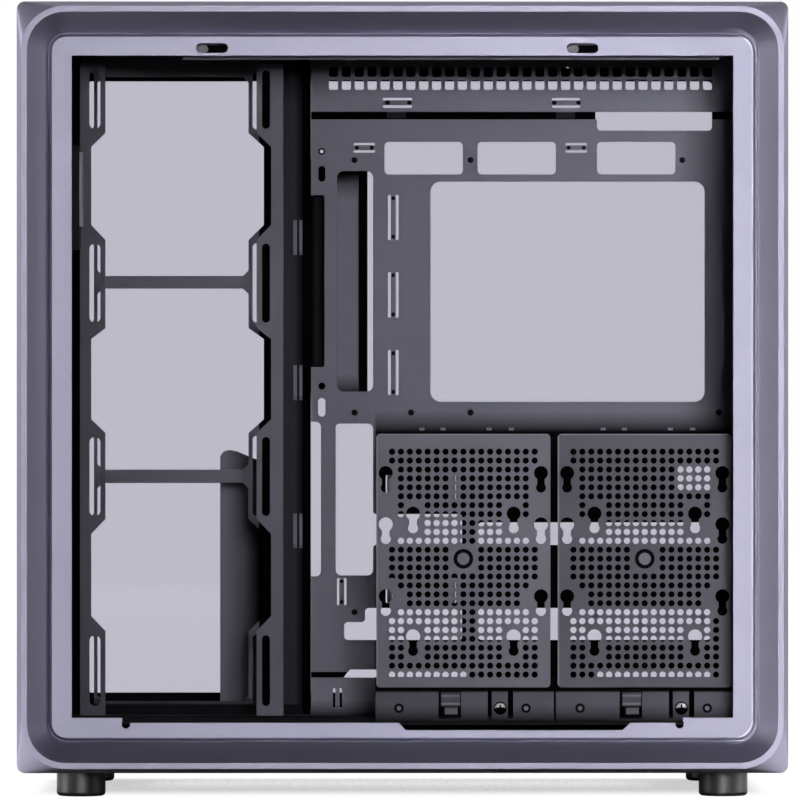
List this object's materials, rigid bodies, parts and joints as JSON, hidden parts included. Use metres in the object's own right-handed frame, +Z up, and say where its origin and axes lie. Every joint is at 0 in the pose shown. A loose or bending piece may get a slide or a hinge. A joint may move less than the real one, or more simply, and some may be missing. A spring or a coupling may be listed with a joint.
{
  "type": "computer case",
  "caption": "Two-chamber computer case with an aluminium frame, glass left side and open right side, showing fan rails, board tray and drive plates.",
  "frame": {"origin": "on the floor under the middle of the body, at the underside of the feet", "axes": "+Z up, -X towards the front of the case, +X towards its rear, -Y towards the open right side, +Y towards the glass left side"},
  "size_m": [0.47, 0.29, 0.4855],
  "materials": {
    "frame_aluminium": "fine-blasted lilac-grey anodising",
    "chassis_steel": "fine-grained dark grey powder coat",
    "drive_steel": "fine-grained grey powder coat",
    "black_plastic": "fine moulded grain",
    "black_rubber": "matt",
    "smoked_glass": "polished, lightly smoked",
    "bright_steel": "bright zinc",
    "black_zinc": "black zinc",
    "grey_plastic": "fine moulded grain"
  },
  "bodies": {
    "case": {"right_side_frame": "frame_aluminium", "left_side_frame": "frame_aluminium", "top_panel": "frame_aluminium", "bottom_panel": "frame_aluminium", "front_panel": "frame_aluminium", "rear_frame": "frame_aluminium", "front_wall": "chassis_steel", "rear_wall": "chassis_steel", "chassis_floor": "chassis_steel", "chassis_roof": "chassis_steel", "roof_lip": "chassis_steel", "tray_top_edge": "chassis_steel", "tray_upper": "chassis_steel", "tray_middle": "chassis_steel", "tray_lower": "chassis_steel", "tray_cross": "chassis_steel", "tray_foot": "chassis_steel", "upper_rail": "chassis_steel", "lower_rail": "chassis_steel", "fan_rail_front": "chassis_steel", "fan_rail_rear": "chassis_steel", "fan_frame": "chassis_steel", "cable_cover": "chassis_steel", "cable_shroud": "chassis_steel", "slot_covers": "chassis_steel", "tray_brackets": "chassis_steel", "tie_bridges": "chassis_steel", "port_bracket": "chassis_steel", "bracket_pins": "chassis_steel", "drive_bracket_front": "chassis_steel", "drive_bracket_rear": "chassis_steel", "drive_plate_front": "drive_steel", "drive_plate_rear": "drive_steel", "drive_hanger_front": "drive_steel", "drive_hanger_rear": "drive_steel", "plate_studs": "drive_steel", "port_block": "black_plastic", "right_catches": "black_plastic", "left_catches": "black_plastic", "audio_jack": "black_plastic", "gap_strip": "black_plastic", "upper_joint_channel": "black_plastic", "lower_joint_channel": "black_plastic", "feet": "black_rubber", "plate_grommets": "black_rubber", "small_grommets": "black_rubber", "slot_screws": "bright_steel", "usb_ports": "bright_steel", "standoffs": "black_zinc", "captive_screws": "black_zinc"},
    "power_button": {"power_button": "frame_aluminium"},
    "reset_button": {"reset_button": "frame_aluminium"},
    "left_panel": {"glass_panel": "smoked_glass", "glass_studs": "bright_steel"},
    "drive_latch_front": {"drive_latch_front": "grey_plastic"},
    "drive_latch_rear": {"drive_latch_rear": "grey_plastic"}
  },
  "joints": [
    {"name": "power_button_press", "type": "slide", "parent": "case", "child": "power_button", "axis": [1, 0, 0], "range_m": [0, 0.0015], "stiffness_N_per_m": 300},
    {"name": "reset_button_press", "type": "slide", "parent": "case", "child": "reset_button", "axis": [1, 0, 0], "range_m": [0, 0.0012], "stiffness_N_per_m": 300},
    {"name": "left_panel_pull", "type": "slide", "parent": "case", "child": "left_panel", "axis": [0, 1, 0], "range_m": [0, 0.12]},
    {"name": "drive_latch_front_slide", "type": "slide", "parent": "case", "child": "drive_latch_front", "axis": [0, 0, -1], "range_m": [0, 0.0024], "stiffness_N_per_m": 400},
    {"name": "drive_latch_rear_slide", "type": "slide", "parent": "case", "child": "drive_latch_rear", "axis": [0, 0, -1], "range_m": [0, 0.0024], "stiffness_N_per_m": 400}
  ]
}
